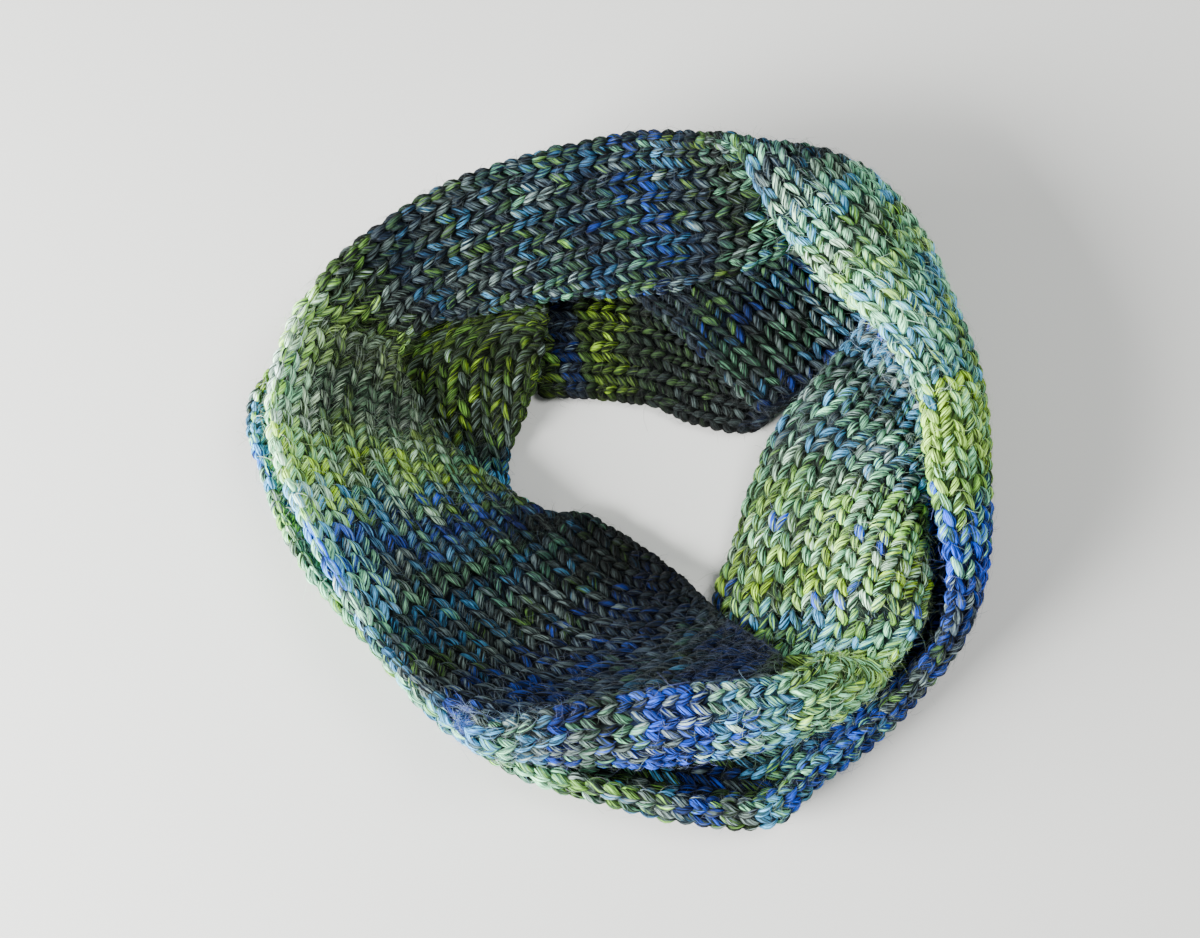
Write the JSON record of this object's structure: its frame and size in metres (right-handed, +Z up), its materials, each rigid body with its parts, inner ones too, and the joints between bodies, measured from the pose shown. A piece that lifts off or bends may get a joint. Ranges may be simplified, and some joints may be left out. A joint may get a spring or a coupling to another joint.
{
  "type": "infinity scarf",
  "caption": "Chunky knitted infinity scarf, a long loop of flattened tube laid down in a doubled ring with a hole in the middle.",
  "frame": {"origin": "on the table, under the middle of the box round the laid scarf", "axes": "+Z is up from the table; +X is to the right along the longest side of the laid ring; +Y is to the back, away from the person who laid it down"},
  "size_m": [0.2958, 0.2764, 0.0669],
  "materials": {
    "olive_wool": "matte",
    "teal_wool": "matte",
    "lime_wool": "matte",
    "charcoal_wool": "matte",
    "navy_wool": "matte",
    "blue_wool": "matte"
  },
  "bodies": {
    "root": {"lower_left": "olive_wool", "lower_front": "teal_wool", "right_outer": "lime_wool", "upper_back": "charcoal_wool", "upper_left": "olive_wool", "front_inner": "navy_wool", "right_inner": "lime_wool", "front_roll": "blue_wool", "back_flat": "olive_wool", "back_pleat": "charcoal_wool"}
  },
  "joints": []
}
